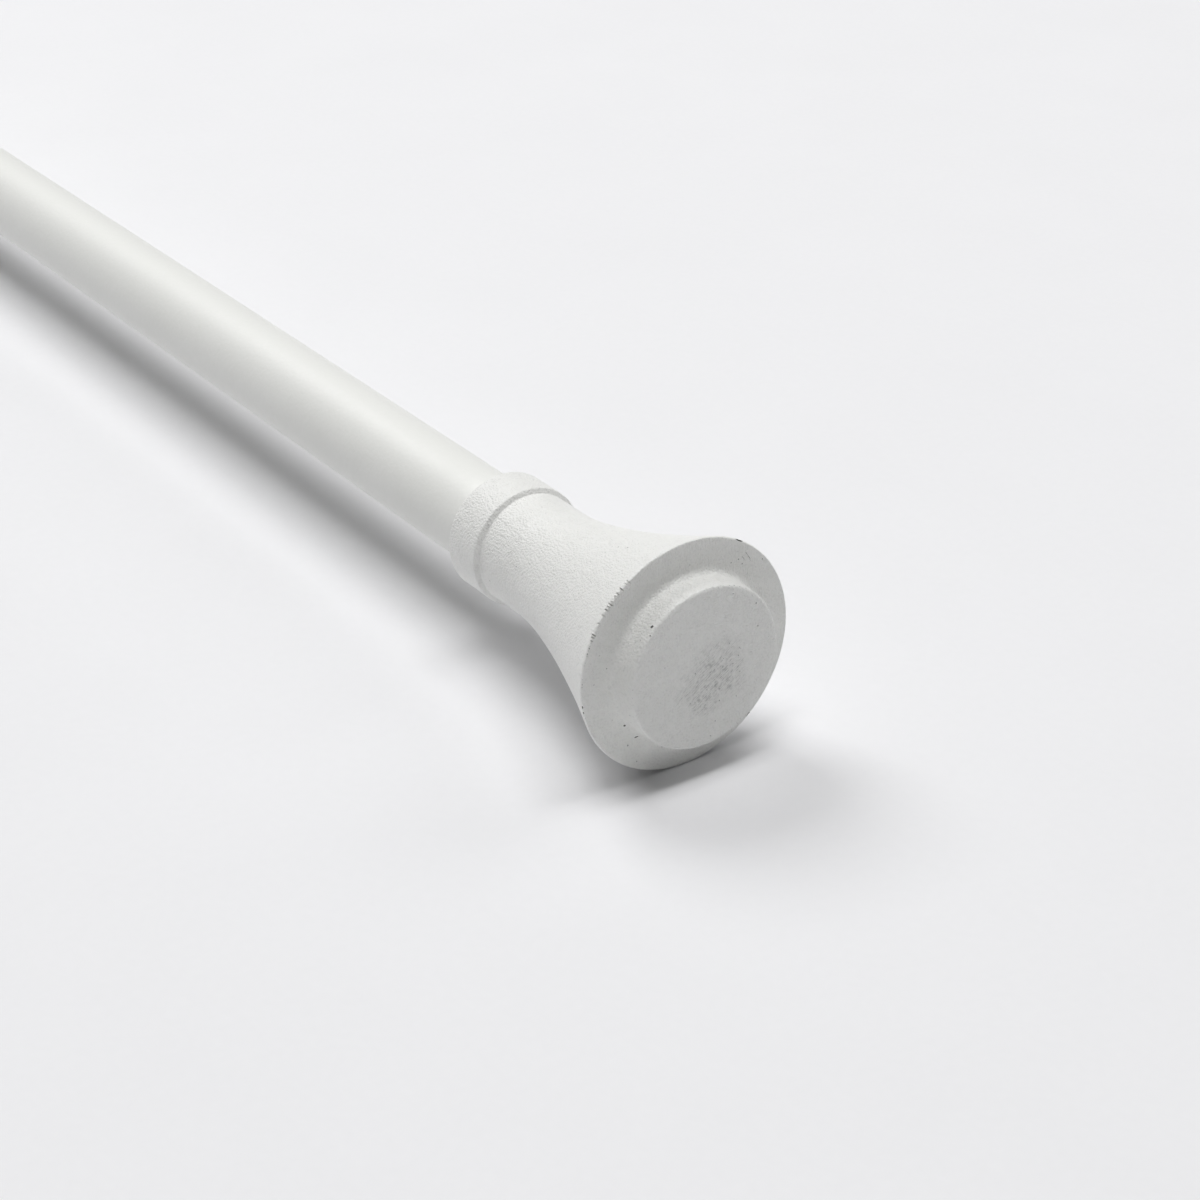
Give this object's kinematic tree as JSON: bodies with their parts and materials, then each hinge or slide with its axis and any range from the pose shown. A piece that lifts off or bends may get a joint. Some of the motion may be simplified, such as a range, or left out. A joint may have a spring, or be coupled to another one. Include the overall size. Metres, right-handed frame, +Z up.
{
  "type": "extendable curtain rod",
  "caption": "Telescoping round curtain rod: a thin tube slides and turns in a thick one, with cast trumpet-shaped finials held by grub screws.",
  "frame": {"origin": "centre of the bracket seat, on the axis of the thick tube, 60 mm inside its finial's collar", "axes": "+X along the rod towards the thick tube's finial, +Z up"},
  "size_m": [0.7736, 0.046, 0.046],
  "materials": {
    "tube_paint": "satin white paint on steel tube",
    "cast_paint": "matt white paint on a sand-cast surface",
    "guide_plastic": "moulded white nylon",
    "screw_steel": "zinc-plated steel"
  },
  "bodies": {
    "thick_tube": {"outer_tube": "tube_paint", "mouth_ring": "guide_plastic"},
    "guide": {"guide_bush": "guide_plastic"},
    "thin_tube": {"inner_tube": "tube_paint"},
    "thick_end_finial": {"outer_finial": "cast_paint"},
    "thick_end_screw": {"outer_finial_screw": "screw_steel"},
    "thin_end_finial": {"inner_finial": "cast_paint", "reducing_sleeve": "guide_plastic"},
    "thin_end_screw": {"inner_finial_screw": "screw_steel"}
  },
  "joints": [
    {"name": "telescope", "type": "slide", "parent": "thick_tube", "child": "guide", "axis": [-1, 0, 0], "range_m": [-0.04, 0.36]},
    {"name": "thin_tube_turn", "type": "hinge", "parent": "guide", "child": "thin_tube", "pos_m": [-0.1, 0, 0], "axis": [1, 0, 0], "continuous": true},
    {"name": "outer_finial_pull", "type": "slide", "parent": "thick_tube", "child": "thick_end_finial", "axis": [1, 0, 0], "range_m": [0, 0.08]},
    {"name": "inner_finial_pull", "type": "slide", "parent": "thin_tube", "child": "thin_end_finial", "axis": [-1, 0, 0], "range_m": [0, 0.08]},
    {"name": "outer_screw_back_off", "type": "slide", "parent": "thick_end_finial", "child": "thick_end_screw", "axis": [0, 0, -1], "range_m": [0, 0.003]},
    {"name": "inner_screw_back_off", "type": "slide", "parent": "thin_end_finial", "child": "thin_end_screw", "axis": [0, 0, -1], "range_m": [0, 0.003]}
  ]
}
